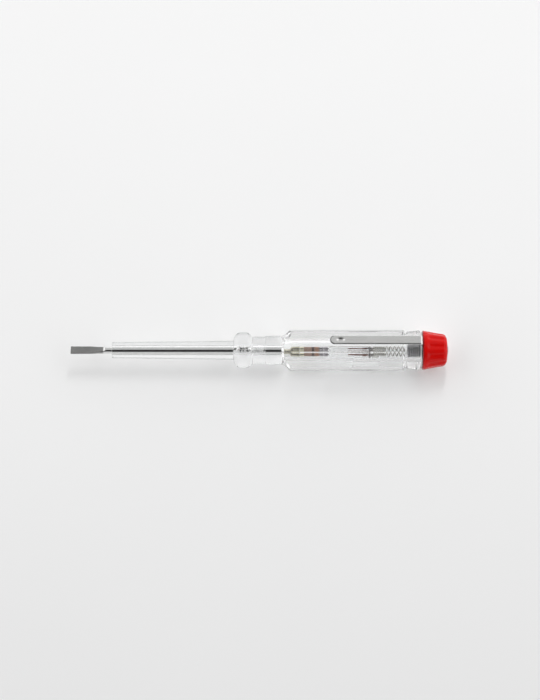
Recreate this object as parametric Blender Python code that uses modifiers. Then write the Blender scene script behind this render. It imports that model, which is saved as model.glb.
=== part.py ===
"""Voltage tester screwdriver, lying on one facet of its handle with the clip on top.

Frame: +X along the tool from the blade's tip to the cap, +Z up, the origin on the
floor under the middle of the tool. Sizes are in millimetres and are turned into
metres by mm().
"""

import math

import bmesh
import bpy
from mathutils import Matrix, Vector

# ---------------------------------------------------------------- dimensions, mm
HALF_LENGTH = 70.0
AXIS_Z = 7.5  # height of the tool's axis: half of the hexagon's width across flats
ACROSS_FLATS = 15.0
HEX_EDGE_RADIUS = 1.8

# stations along the tool, X
COLLAR_FRONT, COLLAR_REAR = -9.56, -2.2
NECK_STEP, SHOULDER, HEX_FRONT = 2.3, 8.45, 12.8
HEX_REAR, REAR_COLLAR, HANDLE_REAR = 53.6, 54.5, 59.6
COLLAR_RADIUS, NECK_RADIUS, NECK_REAR_RADIUS = 6.6, 5.15, 5.4

# blade
ROD_RADIUS = 1.25
BLADE_WIDTH, BLADE_THICK = 3.0, 0.6
BLADE_PARALLEL, BLADE_RAMP, BLADE_ROUND = -63.5, -57.7, -55.4
ROD_END = 9.9
LUG_FRONT, LUG_REAR, LUG_HEIGHT, LUG_THICK = -8.3, -3.4, 3.5, 1.6
SLEEVE_FRONT, SLEEVE_REAR, SLEEVE_SMALL, SLEEVE_LARGE = -54.6, -9.75, 2.95, 3.5

# bore and the test circuit in it
BORE_RADIUS, BORE_FRONT = 2.75, 8.45
THREAD_BORE_RADIUS, THREAD_BORE_FRONT = 3.2, 54.2
DROP = 1.4  # how far the circuit's pieces lie under the tool's axis
FERRULE = (10.0, 15.0, 1.15)
RES_FRONT, RES_REAR, RES_CAP, RES_RADIUS, RES_CAP_RADIUS = 15.1, 23.9, 1.5, 0.95, 1.08
LAMP_CAP_FRONT = (24.0, 25.5)
GLASS_FRONT, GLASS_REAR, GLASS_RADIUS, GLASS_WALL = 25.6, 40.0, 1.15, 0.2
STEM_FRONT = 38.2
ELECTRODE_FRONT, ELECTRODE_RADIUS, ELECTRODE_OFFSET, ELECTRODE_ANGLE = 33.2, 0.22, 0.36, 108.0
LAMP_CAP_REAR = (40.75, 41.35)
LEAD_RADIUS, LEAD_AT, LEAD_ANGLE = 0.13, 1.36, 60.0
SPRING_FRONT, SPRING_OPEN, SPRING_REAR = 42.0, 46.8, 54.2
SPRING_WIRE, SPRING_MEAN = 0.2, 1.08
SPRING_CLOSED_PITCH, SPRING_OPEN_PITCH = 0.74, 1.48

# cap and its stud
STUD_FRONT, STUD_CORE, THREAD_RADIUS, THREAD_PITCH, THREAD_TURNS = 54.75, 2.55, 2.95, 0.75, 6.0
THREAD_START = 55.15
RING_FRONT, RING_REAR = 59.75, 60.25
CAP_FRONT, CAP_END = 60.4, 69.75
STUD_HEAD_RADIUS = 2.2
RIBS = 12

# clip
CLIP_WIDTH, SHEET = 3.5, 0.5
CLIP_FREE_END, CLIP_BEND = 26.1, 59.4
CLIP_UNDER = 15.55  # underside of the arm
DIMPLE_X, DIMPLE_LONG, DIMPLE_WIDE, DIMPLE_DEEP = 30.0, 3.4, 2.0, 0.42
CLIP_LIFT_DEG = 6.0

# grip recess on the front side edge: its floor's distance from the axis, and how far
# the floor's normal is tilted up from horizontal
RECESS_FRONT, RECESS_REAR, RECESS_FLOOR, RECESS_TILT = 33.8, 45.3, 7.07, 20.0


def mm(value):
    return value * 0.001


# ---------------------------------------------------------------- scene and helpers
for old in list(bpy.data.objects):
    bpy.data.objects.remove(old, do_unlink=True)

PARTS = bpy.data.collections.new("voltage_tester_screwdriver")
CUTTERS = bpy.data.collections.new("cutters")
bpy.context.scene.collection.children.link(PARTS)
bpy.context.scene.collection.children.link(CUTTERS)


def material(name, colour, roughness, metallic=0.0, alpha=1.0, transmission=0.0):
    made = bpy.data.materials.new(name)
    made.use_nodes = True
    shader = made.node_tree.nodes["Principled BSDF"]
    shader.inputs["Base Color"].default_value = (*colour, 1.0)
    shader.inputs["Roughness"].default_value = roughness
    shader.inputs["Metallic"].default_value = metallic
    shader.inputs["Alpha"].default_value = alpha
    shader.inputs["Transmission Weight"].default_value = transmission
    return made


CLEAR = material("clear_plastic", (0.93, 0.94, 0.94), 0.05, 0.0, 0.35, 0.9)
CHROME = material("plated_steel", (0.62, 0.62, 0.62), 0.12, 1.0)
STEEL = material("clip_steel", (0.55, 0.55, 0.54), 0.3, 1.0)
BRASS = material("aged_brass", (0.36, 0.33, 0.2), 0.3, 1.0)
TIN = material("tinned_caps", (0.5, 0.48, 0.5), 0.3, 1.0)
BROWN = material("resistor_lacquer", (0.27, 0.15, 0.09), 0.35)
GLASS = material("lamp_glass", (0.95, 0.95, 0.96), 0.02, 0.0, 0.3, 1.0)
ELECTRODE = material("electrode_metal", (0.34, 0.16, 0.12), 0.4, 1.0)
STEM = material("stem_glass", (0.8, 0.82, 0.82), 0.1, 0.0, 0.6, 0.7)
SPRING = material("spring_wire", (0.55, 0.54, 0.5), 0.2, 1.0)
RED = material("red_plastic", (0.62, 0.012, 0.012), 0.28)

ALONG_X = Matrix.Rotation(math.radians(90.0), 4, "Y")  # local +Z becomes +X


def add_object(name, mesh, collection, look=None, matrix=None):
    made = bpy.data.objects.new(name, mesh)
    collection.objects.link(made)
    if look is not None:
        mesh.materials.append(look)
    if matrix is not None:
        made.matrix_world = matrix
    if collection is CUTTERS:
        made.hide_render = True
        made.display_type = "WIRE"
    return made


def smooth(mesh, angle=35.0):
    mesh.shade_smooth()
    mesh.set_sharp_from_angle(angle=math.radians(angle))


def on_axis(drop=0.0):
    return Matrix.Translation((0.0, 0.0, mm(AXIS_Z - drop))) @ ALONG_X


def turned(name, outline, collection, look=None, steps=32, closed=False, drop=0.0):
    """A turned piece. outline is (station, radius) from front to rear; on a closed
    outline it goes round the section: outer side first, then back along the bore."""
    mesh = bpy.data.meshes.new(name)
    build = bmesh.new()
    points = [build.verts.new((mm(r), 0.0, mm(s))) for s, r in reversed(outline)]
    for a, b in zip(points, points[1:]):
        build.edges.new((a, b))
    if closed:
        build.edges.new((points[-1], points[0]))
    build.to_mesh(mesh)
    build.free()
    made = add_object(name, mesh, collection, look, on_axis(drop))
    screw = made.modifiers.new("turn", "SCREW")
    screw.axis = "Z"
    screw.angle = math.tau
    screw.steps = screw.render_steps = steps
    screw.use_merge_vertices = True
    screw.merge_threshold = 0.00001
    screw.use_smooth_shade = True
    return made


def arc(centre, radius, start, stop, count):
    """(station, radius) points of an arc, angles in degrees from the +station side."""
    s0, r0 = centre
    return [
        (
            s0 + radius * math.cos(math.radians(start + (stop - start) * i / count)),
            r0 + radius * math.sin(math.radians(start + (stop - start) * i / count)),
        )
        for i in range(count + 1)
    ]


def box(name, low, high, collection, look=None, bevel=0.0, segments=2):
    """A box from its lowest and highest corners, its edges rounded by bevel."""
    mesh = bpy.data.meshes.new(name)
    build = bmesh.new()
    bmesh.ops.create_cube(build, size=1.0)
    size = [mm(b - a) for a, b in zip(low, high)]
    middle = [mm((a + b) / 2) for a, b in zip(low, high)]
    bmesh.ops.scale(build, vec=size, verts=build.verts)
    build.to_mesh(mesh)
    build.free()
    made = add_object(name, mesh, collection, look, Matrix.Translation(middle))
    if bevel:
        edge = made.modifiers.new("edges", "BEVEL")
        edge.width = mm(bevel)
        edge.segments = segments
    return made


def combine(target, other, operation):
    step = target.modifiers.new(operation.lower(), "BOOLEAN")
    step.operation = operation
    step.solver = "EXACT"
    step.object = other
    return step


def fixed_mesh(source, name, collection, look=None):
    """The evaluated curve as a welded mesh object, with the curve removed."""
    bpy.context.view_layer.update()
    graph = bpy.context.evaluated_depsgraph_get()
    mesh = bpy.data.meshes.new_from_object(source.evaluated_get(graph))
    mesh.name = name
    build = bmesh.new()
    build.from_mesh(mesh)
    bmesh.ops.remove_doubles(build, verts=build.verts, dist=mm(0.01))
    bmesh.ops.recalc_face_normals(build, faces=build.faces)
    build.to_mesh(mesh)
    build.free()
    matrix = source.matrix_world.copy()
    bpy.data.objects.remove(source, do_unlink=True)
    return add_object(name, mesh, collection, look, matrix)


def wire(name, points, radius, collection, look=None, sides=1):
    """A round wire through points (mm, world) as a mesh."""
    curve = bpy.data.curves.new(name, "CURVE")
    curve.dimensions = "3D"
    curve.bevel_depth = mm(radius)
    curve.bevel_resolution = sides
    curve.use_fill_caps = True
    line = curve.splines.new("POLY")
    line.points.add(len(points) - 1)
    for knot, (x, y, z) in zip(line.points, points):
        knot.co = (mm(x), mm(y), mm(z), 1.0)
    made = bpy.data.objects.new(name + "_path", curve)
    collection.objects.link(made)
    return fixed_mesh(made, name, collection, look)


def helix(stations, radius, turns_at, per_turn=12, phase=0.0, drop=0.0):
    """Points round the tool's axis. turns_at(t) gives turns, stations(t) gives X, t 0..1."""
    total = turns_at(1.0)
    count = max(2, int(round(total * per_turn)))
    points = []
    for i in range(count + 1):
        t = i / count
        angle = math.tau * turns_at(t) + phase
        points.append(
            (
                stations(t),
                -radius * math.sin(angle),
                AXIS_Z - drop + radius * math.cos(angle),
            )
        )
    return points


# ---------------------------------------------------------------- handle
# The hexagon: a six-sided cylinder with rounded long edges, a flat facing up.
bpy.ops.mesh.primitive_cylinder_add(
    vertices=6,
    radius=mm(ACROSS_FLATS / math.sqrt(3.0)),
    depth=mm(HEX_REAR - SHOULDER),
)
handle = bpy.context.active_object
handle.name = handle.data.name = "handle"
for holder in list(handle.users_collection):
    holder.objects.unlink(handle)
PARTS.objects.link(handle)
handle.data.materials.append(CLEAR)
build = bmesh.new()
build.from_mesh(handle.data)
long_edges = [
    e for e in build.edges if abs((e.verts[0].co - e.verts[1].co).normalized().z) > 0.99
]
bmesh.ops.bevel(
    build,
    geom=long_edges,
    offset=mm(HEX_EDGE_RADIUS * math.tan(math.radians(30.0))),
    segments=3,
    profile=0.5,
    affect="EDGES",
)
bmesh.ops.translate(
    build, verts=build.verts, vec=(0.0, 0.0, mm((HEX_REAR + SHOULDER) / 2))
)
build.to_mesh(handle.data)
build.free()
handle.matrix_world = on_axis()

# Round form that shapes the hexagon's shoulder and rear edge.
shoulder_form = turned(
    "shoulder_form",
    [
        (SHOULDER - 1.0, 0.0),
        (SHOULDER - 1.0, 5.1),
        (SHOULDER, 5.35),
        (9.3, 5.8),
        (10.3, 6.55),
        (11.2, 7.5),
        (12.0, 8.2),
        (HEX_FRONT, 8.8),
        (HEX_REAR - 0.5, 9.0),
        (HEX_REAR + 0.5, 7.6),
        (HEX_REAR + 0.5, 0.0),
    ],
    CUTTERS,
    steps=48,
)
combine(handle, shoulder_form, "INTERSECT")

# Guard collar, neck and rear collar, one turned core through the hexagon.
core = turned(
    "handle_core",
    [(COLLAR_FRONT, 0.0), (COLLAR_FRONT, COLLAR_RADIUS - 2.2)]
    + arc((COLLAR_FRONT + 2.2, COLLAR_RADIUS - 2.2), 2.2, 180, 90, 5)[1:]
    + arc((COLLAR_REAR - 2.4, COLLAR_RADIUS - 2.0), 2.0, 90, 20, 4)
    + [
        (COLLAR_REAR, NECK_RADIUS),
        (NECK_STEP, NECK_RADIUS),
        (NECK_STEP, NECK_REAR_RADIUS),
        (SHOULDER + 2.0, NECK_REAR_RADIUS),
        (HEX_REAR - 3.0, 6.5),
        (REAR_COLLAR, 6.6),
        (REAR_COLLAR + 0.35, 6.9),
        (HANDLE_REAR - 0.5, 7.4),
        (HANDLE_REAR, 7.2),
        (HANDLE_REAR, 0.0),
    ],
    CUTTERS,
    steps=48,
)
combine(handle, core, "UNION")

# Hole for the rod, bore for the circuit, wider threaded end.
bore = turned(
    "bore_form",
    [
        (COLLAR_FRONT - 2.0, 0.0),
        (COLLAR_FRONT - 2.0, ROD_RADIUS + 0.1),
        (BORE_FRONT, ROD_RADIUS + 0.1),
        (BORE_FRONT + 0.3, 1.9),
        (BORE_FRONT + 1.1, BORE_RADIUS),
        (THREAD_BORE_FRONT, BORE_RADIUS),
        (THREAD_BORE_FRONT + 0.4, THREAD_BORE_RADIUS),
        (HANDLE_REAR + 2.0, THREAD_BORE_RADIUS),
        (HANDLE_REAR + 2.0, 0.0),
    ],
    CUTTERS,
    steps=32,
)
combine(handle, bore, "DIFFERENCE")

# Slot that the rod's two wings are moulded into.
lug_slot = box(
    "lug_slot_form",
    (LUG_FRONT - 0.15, -LUG_THICK / 2 - 0.1, AXIS_Z - LUG_HEIGHT / 2 - 0.15),
    (LUG_REAR + 0.15, LUG_THICK / 2 + 0.1, AXIS_Z + LUG_HEIGHT / 2 + 0.15),
    CUTTERS,
)
combine(handle, lug_slot, "DIFFERENCE")

# Grip recess across the front side edge.
recess = box(
    "recess_form",
    (RECESS_FRONT, -RECESS_FLOOR - 6.0, AXIS_Z - 9.0),
    (RECESS_REAR, -RECESS_FLOOR, AXIS_Z + 9.0),
    CUTTERS,
    bevel=1.2,
    segments=3,
)
axis_line = Matrix.Translation((0.0, 0.0, mm(AXIS_Z)))
recess.matrix_world = (
    axis_line
    @ Matrix.Rotation(math.radians(-RECESS_TILT), 4, "X")
    @ axis_line.inverted()
    @ recess.matrix_world
)
combine(handle, recess, "DIFFERENCE")

# ---------------------------------------------------------------- blade
def blade_section(station):
    """Width and thickness of the rod where the tip is forged flat."""
    if station <= BLADE_PARALLEL:
        return BLADE_WIDTH, BLADE_THICK
    if station <= BLADE_RAMP:
        t = (station - BLADE_PARALLEL) / (BLADE_RAMP - BLADE_PARALLEL)
        return BLADE_WIDTH + (2 * ROD_RADIUS - BLADE_WIDTH) * min(1.0, 1.6 * t), (
            BLADE_THICK + (1.75 - BLADE_THICK) * t**1.3
        )
    t = min(1.0, (station - BLADE_RAMP) / (BLADE_ROUND - BLADE_RAMP))
    return 2 * ROD_RADIUS, 1.75 + (2 * ROD_RADIUS - 1.75) * t


def blade_ring(station, count=24):
    """Points of one section: an ellipse of the width there, cut flat top and bottom."""
    wide, thick = blade_section(station)
    tall = 2 * ROD_RADIUS
    points = []
    for i in range(count):
        angle = math.tau * i / count
        y = wide / 2 * math.cos(angle)
        z = max(-thick / 2, min(thick / 2, tall / 2 * math.sin(angle)))
        points.append((mm(station), mm(y), mm(AXIS_Z + z)))
    return points


blade_mesh = bpy.data.meshes.new("blade")
build = bmesh.new()
stations = [-HALF_LENGTH, BLADE_PARALLEL]
stations += [BLADE_PARALLEL + (BLADE_RAMP - BLADE_PARALLEL) * i / 4 for i in range(1, 5)]
stations += [BLADE_RAMP + 0.8, BLADE_RAMP + 1.6, BLADE_ROUND, ROD_END - 0.4]
rings = [[build.verts.new(p) for p in blade_ring(s)] for s in stations]
rings.append(
    [
        build.verts.new((mm(ROD_END), p.co.y * 0.85, mm(AXIS_Z) + (p.co.z - mm(AXIS_Z)) * 0.85))
        for p in rings[-1]
    ]
)
for a, b in zip(rings, rings[1:]):
    for i in range(len(a)):
        j = (i + 1) % len(a)
        build.faces.new((a[i], a[j], b[j], b[i]))
build.faces.new(rings[0][::-1])
build.faces.new(rings[-1])
bmesh.ops.recalc_face_normals(build, faces=build.faces)
build.to_mesh(blade_mesh)
build.free()
smooth(blade_mesh)
blade = add_object("blade", blade_mesh, PARTS, CHROME)
lugs = box(
    "lug_form",
    (LUG_FRONT, -LUG_THICK / 2, AXIS_Z - LUG_HEIGHT / 2),
    (LUG_REAR, LUG_THICK / 2, AXIS_Z + LUG_HEIGHT / 2),
    CUTTERS,
    bevel=0.4,
)
combine(blade, lugs, "UNION")

turned(
    "blade_sleeve",
    [
        (SLEEVE_FRONT, ROD_RADIUS + 0.1),
        (SLEEVE_FRONT, SLEEVE_SMALL - 0.3),
        (SLEEVE_FRONT + 0.3, SLEEVE_SMALL),
        (SLEEVE_REAR, SLEEVE_LARGE),
        (SLEEVE_REAR, ROD_RADIUS + 0.1),
    ],
    PARTS,
    CLEAR,
    steps=24,
    closed=True,
)

# ---------------------------------------------------------------- test circuit
front, rear, radius = FERRULE
turned(
    "front_contact",
    [
        (front, 0.0),
        (front, 0.72),
        (front + 0.3, 0.95),
        (front + 0.9, radius),
        (rear, radius),
        (rear, 0.85),
        (rear - 1.0, 0.85),
        (rear - 1.0, 0.0),
    ],
    PARTS,
    BRASS,
    steps=24,
    drop=DROP,
)
turned(
    "resistor_body",
    [
        (RES_FRONT + 0.35, 0.0),
        (RES_FRONT + 0.35, RES_RADIUS - 0.3),
        (RES_FRONT + RES_CAP + 0.1, RES_RADIUS - 0.3),
        (RES_FRONT + RES_CAP + 0.2, RES_RADIUS),
        (RES_REAR - RES_CAP - 0.2, RES_RADIUS),
        (RES_REAR - RES_CAP - 0.1, RES_RADIUS - 0.3),
        (RES_REAR - 0.35, RES_RADIUS - 0.3),
        (RES_REAR - 0.35, 0.0),
    ],
    PARTS,
    BROWN,
    steps=24,
    drop=DROP,
)


def end_cap(name, closed_end, open_end, outer, inner, look):
    """A pressed cap: closed at closed_end, open towards the piece that it fits."""
    floor = closed_end + 0.25 * (1 if open_end > closed_end else -1)
    outline = [
        (closed_end, 0.0),
        (closed_end, outer - 0.2),
        (closed_end + (0.2 if open_end > closed_end else -0.2), outer),
        (open_end, outer),
        (open_end, inner),
        (floor, inner),
        (floor, 0.0),
    ]
    if closed_end > open_end:
        outline.reverse()
    return turned(name, outline, PARTS, look, steps=24, drop=DROP)


end_cap(
    "resistor_cap_front", RES_FRONT, RES_FRONT + RES_CAP, RES_CAP_RADIUS, RES_RADIUS - 0.2, TIN
)
end_cap("resistor_cap_rear", RES_REAR, RES_REAR - RES_CAP, RES_CAP_RADIUS, RES_RADIUS - 0.2, TIN)

# The lamp: a glass tube with a rounded front end, open at the rear where the stem closes it.
front, rear = LAMP_CAP_FRONT
end_cap("lamp_cap_front", front, rear, RES_CAP_RADIUS, 0.78, TIN)
outer = (
    [(GLASS_FRONT - 1.2, 0.0), (GLASS_FRONT - 1.1, 0.4), (GLASS_FRONT - 0.6, 0.64)]
    + [(GLASS_FRONT + 0.2, 0.7), (GLASS_FRONT + 0.9, GLASS_RADIUS - 0.15)]
    + [(GLASS_FRONT + 1.6, GLASS_RADIUS), (GLASS_REAR, GLASS_RADIUS)]
)
inner_radius = GLASS_RADIUS - GLASS_WALL
inner = [
    (GLASS_REAR, inner_radius),
    (GLASS_FRONT + 1.8, inner_radius),
    (GLASS_FRONT + 1.1, inner_radius - 0.25),
    (GLASS_FRONT + 0.3, 0.38),
    (GLASS_FRONT - 0.2, 0.0),
]
turned("lamp_glass", outer + inner, PARTS, GLASS, steps=24, drop=DROP)
stem = turned(
    "lamp_stem",
    [
        (STEM_FRONT, 0.0),
        (STEM_FRONT, 0.75),
        (STEM_FRONT + 0.4, inner_radius - 0.1),
        (GLASS_REAR - 0.05, inner_radius - 0.1),
        (GLASS_REAR - 0.05, 0.0),
    ],
    PARTS,
    STEM,
    steps=24,
    drop=DROP,
)
for side, label in ((-1.0, "a"), (1.0, "b")):
    y = side * ELECTRODE_OFFSET * math.cos(math.radians(ELECTRODE_ANGLE))
    z = AXIS_Z - DROP + side * ELECTRODE_OFFSET * math.sin(math.radians(ELECTRODE_ANGLE))
    wire(
        f"lamp_electrode_{label}",
        [(ELECTRODE_FRONT + 1.0 * i, y, z) for i in range(6)] + [(GLASS_REAR, y, z)],
        ELECTRODE_RADIUS,
        PARTS,
        ELECTRODE,
        sides=2,
    )
    # the stem is open round each electrode
    socket = wire(
        f"socket_form_{label}",
        [(STEM_FRONT - 1.0, y, z), (GLASS_REAR + 1.0, y, z)],
        ELECTRODE_RADIUS + 0.08,
        CUTTERS,
        sides=2,
    )
    combine(stem, socket, "DIFFERENCE")

# One lead leaves the stem, turns over the glass's rear edge and runs back to the front cap.
out_y = math.cos(math.radians(LEAD_ANGLE))
out_z = math.sin(math.radians(LEAD_ANGLE))
wire(
    "lamp_lead",
    [
        (x, r * out_y, AXIS_Z - DROP + r * out_z)
        for x, r in (
            (GLASS_REAR + 0.22, 0.3),
            (GLASS_REAR + 0.35, 0.6),
            (GLASS_REAR + 0.4, 0.9),
            (GLASS_REAR + 0.35, 1.22),
            (GLASS_REAR + 0.05, LEAD_AT),
            (GLASS_REAR - 0.5, LEAD_AT),
            ((GLASS_REAR + GLASS_FRONT) / 2, LEAD_AT),
            (GLASS_FRONT + 0.05, LEAD_AT),
        )
    ],
    LEAD_RADIUS,
    PARTS,
    TIN,
)

front, rear = LAMP_CAP_REAR
turned(
    "lamp_cap_rear",
    [
        (front, 0.0),
        (front, 1.25),
        (rear, 1.25),
        (rear, 0.76),
        (rear + 1.2, 0.58),
        (rear + 1.4, 0.0),
    ],
    PARTS,
    TIN,
    steps=24,
    drop=DROP,
)

# ---------------------------------------------------------------- spring
CLOSED_TURNS = (SPRING_OPEN - SPRING_FRONT) / SPRING_CLOSED_PITCH
OPEN_TURNS = (SPRING_REAR - SPRING_OPEN) / SPRING_OPEN_PITCH


def spring_turns(t):
    return t * (CLOSED_TURNS + OPEN_TURNS)


def spring_station(t):
    """Closed coils at the lamp, then open ones, with a soft change between."""
    turns = spring_turns(t)
    extra = max(0.0, turns - CLOSED_TURNS)
    return (
        SPRING_FRONT
        + min(turns, CLOSED_TURNS) * SPRING_CLOSED_PITCH
        + extra * SPRING_OPEN_PITCH
    )


wire(
    "contact_spring",
    helix(spring_station, SPRING_MEAN, spring_turns, drop=DROP),
    SPRING_WIRE,
    PARTS,
    SPRING,
)

# ---------------------------------------------------------------- cap, stud and clip ring
cap_joint = bpy.data.objects.new("cap_turn", None)
PARTS.objects.link(cap_joint)
cap_joint.location = (mm(CAP_FRONT), 0.0, mm(AXIS_Z))
bpy.context.view_layer.update()


def parent_keeping_place(child, parent):
    child.parent = parent
    child.matrix_parent_inverse = parent.matrix_world.inverted()


stud = turned(
    "contact_stud",
    [
        (STUD_FRONT, 0.0),
        (STUD_FRONT, STUD_CORE - 0.5),
        (STUD_FRONT + 0.4, STUD_CORE),
        (CAP_FRONT + 2.6, STUD_CORE),
        (CAP_FRONT + 2.6, 1.6),
        (CAP_END - 2.0, 1.6),
        (CAP_END - 2.0, STUD_HEAD_RADIUS),
        (HALF_LENGTH - 0.2, STUD_HEAD_RADIUS),
        (HALF_LENGTH, STUD_HEAD_RADIUS - 0.3),
        (HALF_LENGTH, 0.0),
    ],
    PARTS,
    TIN,
    steps=24,
)
thread = wire(
    "thread_form",
    helix(
        lambda t: THREAD_START + t * THREAD_TURNS * THREAD_PITCH,
        STUD_CORE + 0.08,
        lambda t: t * THREAD_TURNS,
        per_turn=12,
    ),
    0.3,
    CUTTERS,
)
combine(stud, thread, "UNION")
parent_keeping_place(stud, cap_joint)

cap = turned(
    "cap",
    [
        (CAP_FRONT, STUD_CORE + 0.15),
        (CAP_FRONT, 7.05),
        (CAP_FRONT + 0.3, 7.3),
        (61.6, 7.13),
        (64.6, 6.54),
        (68.0, 5.98),
        (68.8, 5.7),
        (69.3, 5.2),
        (69.6, 4.3),
        (CAP_END, STUD_HEAD_RADIUS + 0.3),
        (CAP_END - 0.15, STUD_HEAD_RADIUS + 0.15),
        (CAP_END - 2.15, STUD_HEAD_RADIUS + 0.15),
        (CAP_END - 2.15, 1.75),
        (CAP_FRONT + 2.75, 1.75),
        (CAP_FRONT + 2.75, STUD_CORE + 0.15),
    ],
    PARTS,
    RED,
    steps=48,
    closed=True,
)
# Flutes between the ribs: slender cones that lie along the cap's side.
flute_mesh = bpy.data.meshes.new("flute_form")
build = bmesh.new()
for i in range(RIBS):
    angle = math.tau * (i + 0.5) / RIBS
    front_end = Vector((62.2, 7.48, 0.0))
    rear_end = Vector((70.5, 6.08, 0.0))
    direction = (rear_end - front_end).normalized()
    made = bmesh.ops.create_cone(
        build,
        cap_ends=True,
        segments=10,
        radius1=mm(0.85),
        radius2=mm(0.85),
        depth=mm((rear_end - front_end).length),
    )
    turn = Vector((0.0, 0.0, 1.0)).rotation_difference(direction).to_matrix().to_4x4()
    middle = (front_end + rear_end) / 2
    place = Matrix.Translation((mm(middle.x), mm(middle.y), 0.0)) @ turn
    place = Matrix.Rotation(angle, 4, "X") @ place
    bmesh.ops.transform(build, matrix=place, verts=made["verts"])
bmesh.ops.translate(build, verts=build.verts, vec=(0.0, 0.0, mm(AXIS_Z)))
build.to_mesh(flute_mesh)
build.free()
flutes = add_object("flute_form", flute_mesh, CUTTERS)
combine(cap, flutes, "DIFFERENCE")
parent_keeping_place(cap, cap_joint)

# Clip: a ring under the cap with a tab that rises to the arm.
clip_joint = bpy.data.objects.new("clip_flex", None)
PARTS.objects.link(clip_joint)
clip_joint.location = (mm(CLIP_BEND + 0.3), 0.0, mm(CLIP_UNDER + SHEET / 2))
bpy.context.view_layer.update()

ring = turned(
    "clip_ring",
    [
        (RING_FRONT, THREAD_RADIUS + 0.35),
        (RING_FRONT, 6.6),
        (RING_REAR, 6.6),
        (RING_REAR, THREAD_RADIUS + 0.35),
    ],
    PARTS,
    STEEL,
    steps=32,
    closed=True,
)
tab = box(
    "tab_form",
    (RING_FRONT, -CLIP_WIDTH / 2, AXIS_Z + 4.0),
    (RING_REAR, CLIP_WIDTH / 2, CLIP_UNDER + SHEET),
    CUTTERS,
)
combine(ring, tab, "UNION")

# The arm: a flat strip with a round free end and a pressed dimple, cut from sheet.
curve = bpy.data.curves.new("clip_arm", "CURVE")
curve.dimensions = "2D"
curve.fill_mode = "BOTH"
curve.extrude = mm(SHEET / 2)
outline = [(RING_FRONT - 0.3, -CLIP_WIDTH / 2), (RING_FRONT - 0.3, CLIP_WIDTH / 2)]
end_centre = CLIP_FREE_END + CLIP_WIDTH / 2
outline += [
    (
        end_centre - CLIP_WIDTH / 2 * math.sin(math.pi * i / 10),
        CLIP_WIDTH / 2 * math.cos(math.pi * i / 10),
    )
    for i in range(11)
]
line = curve.splines.new("POLY")
line.use_cyclic_u = True
line.points.add(len(outline) - 1)
for knot, (x, y) in zip(line.points, outline):
    knot.co = (mm(x), mm(y), 0.0, 1.0)
strip = bpy.data.objects.new("clip_arm_outline", curve)
PARTS.objects.link(strip)
strip.location = (0.0, 0.0, mm(CLIP_UNDER + SHEET / 2))
arm = fixed_mesh(strip, "clip_arm", PARTS, STEEL)

bump_mesh = bpy.data.meshes.new("dimple_bump_form")
build = bmesh.new()
bmesh.ops.create_uvsphere(build, u_segments=16, v_segments=8, radius=1.0)
bmesh.ops.scale(
    build,
    vec=(mm(DIMPLE_LONG / 2), mm(DIMPLE_WIDE / 2), mm(DIMPLE_DEEP)),
    verts=build.verts,
)
build.to_mesh(bump_mesh)
build.free()
bump = add_object(
    "dimple_bump_form",
    bump_mesh,
    CUTTERS,
    matrix=Matrix.Translation((mm(DIMPLE_X), 0.0, mm(CLIP_UNDER))),
)
combine(arm, bump, "UNION")
hollow_mesh = bump_mesh.copy()
hollow_mesh.transform(Matrix.Diagonal((0.85, 0.8, 1.3, 1.0)))
hollow = add_object(
    "dimple_hollow_form",
    hollow_mesh,
    CUTTERS,
    matrix=Matrix.Translation((mm(DIMPLE_X), 0.0, mm(CLIP_UNDER + SHEET))),
)
combine(arm, hollow, "DIFFERENCE")
parent_keeping_place(arm, clip_joint)

# Round pieces are shaded smooth with sharp corners kept.
for piece in list(PARTS.objects) + list(CUTTERS.objects):
    if piece.type == "MESH" and piece.data.polygons:
        smooth(piece.data)
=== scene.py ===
"""Looks of a voltage tester screwdriver round its packed construction model.

Lengths are written in millimetres and turned into metres where meshes are made.
+X runs along the tool to the cap, +Z is up, and the tool's axis is at z = 7.5 mm.
"""

import math

import bmesh
import bpy
import numpy as np
from mathutils import Matrix, Vector


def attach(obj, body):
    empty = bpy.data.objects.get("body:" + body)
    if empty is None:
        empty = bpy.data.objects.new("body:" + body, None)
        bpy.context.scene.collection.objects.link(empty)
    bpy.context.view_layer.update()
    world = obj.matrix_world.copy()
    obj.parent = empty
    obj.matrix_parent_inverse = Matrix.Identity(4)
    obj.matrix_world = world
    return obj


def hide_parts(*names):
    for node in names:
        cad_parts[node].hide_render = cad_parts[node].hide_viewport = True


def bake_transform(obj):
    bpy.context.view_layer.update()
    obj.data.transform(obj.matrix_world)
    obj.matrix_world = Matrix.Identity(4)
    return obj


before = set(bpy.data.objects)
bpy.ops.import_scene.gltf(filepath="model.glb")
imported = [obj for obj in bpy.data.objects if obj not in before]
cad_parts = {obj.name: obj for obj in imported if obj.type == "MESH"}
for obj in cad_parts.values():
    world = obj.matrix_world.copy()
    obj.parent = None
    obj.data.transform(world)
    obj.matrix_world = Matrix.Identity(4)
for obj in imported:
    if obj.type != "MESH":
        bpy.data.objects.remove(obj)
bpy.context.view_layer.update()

AXIS_Z = 7.5
MM = 0.001
scene = bpy.context.scene

# ------------------------------------------------------------------ camera
ELEVATION = 62.5
TARGET = Vector((0.0040, 0.00006, 0.00755))
DISTANCE = 0.7222
camera_data = bpy.data.cameras.new("photo_camera")
camera_data.lens = 100.0
camera_data.sensor_width = 36.0
camera_data.sensor_fit = "AUTO"
camera_data.clip_start = 0.01
camera_data.clip_end = 20.0
camera = bpy.data.objects.new("photo_camera", camera_data)
scene.collection.objects.link(camera)
tilt = math.radians(ELEVATION)
camera.location = TARGET + DISTANCE * Vector((0.0, -math.cos(tilt), math.sin(tilt)))
camera.rotation_euler = (math.radians(90.0 - ELEVATION), 0.0, 0.0)
scene.camera = camera

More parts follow.
